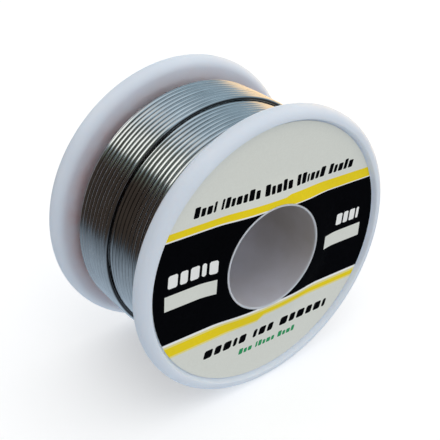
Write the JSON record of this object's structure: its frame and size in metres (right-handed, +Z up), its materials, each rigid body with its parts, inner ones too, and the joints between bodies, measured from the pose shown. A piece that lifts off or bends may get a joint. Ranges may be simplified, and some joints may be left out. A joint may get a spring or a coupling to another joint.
{
  "type": "solder wire spool",
  "caption": "Small white plastic spool full of bright solder wire, with a through bore for a spindle and a striped paper label in its dished front flange.",
  "frame": {"origin": "centre of the bore, halfway between the outer faces of the two rims", "axes": "+Y along the spool's axis from the labelled front flange to the rear flange, +Z up with the spool standing on its rims, +X to the right seen from the front"},
  "size_m": [0.043, 0.0246, 0.043],
  "materials": {
    "spool_plastic": "moulded bluish white plastic, slightly translucent, soft sheen",
    "label_paper": "coated beige paper with a printed black band and yellow stripes",
    "solder_alloy": "bright drawn tin-lead wire",
    "rosin_flux": "amber rosin, seen only at the cut end"
  },
  "bodies": {
    "root": {"rear_flange_and_hub": "spool_plastic", "front_flange": "spool_plastic", "front_label": "label_paper", "solder_winding": "solder_alloy", "solder_outer_end": "solder_alloy", "flux_core": "rosin_flux"}
  },
  "joints": []
}
